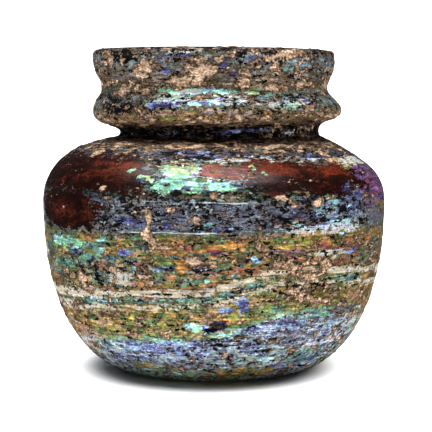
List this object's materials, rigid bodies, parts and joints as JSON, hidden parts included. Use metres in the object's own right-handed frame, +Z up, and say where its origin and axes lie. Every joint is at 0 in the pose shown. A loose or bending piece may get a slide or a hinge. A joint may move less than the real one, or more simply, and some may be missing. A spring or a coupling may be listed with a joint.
{
  "type": "glass jar",
  "caption": "Squat free-blown glass jar with a rolled collar below a flared mouth, hollow and open at the top, heavily weathered to iridescent layers and soil crust.",
  "frame": {"origin": "on the jar's axis in the plane of the flat ring it stands on, midway across its bounding box", "axes": "+Z up out of the mouth; -Y towards the side that the picture shows; +X to the right when seen from that side"},
  "size_m": [0.092, 0.0916, 0.0852],
  "materials": {
    "weathered_glass": "weathered, iridescent, part crusted with soil"
  },
  "bodies": {
    "root": {"glass_jar": "weathered_glass"}
  },
  "joints": []
}
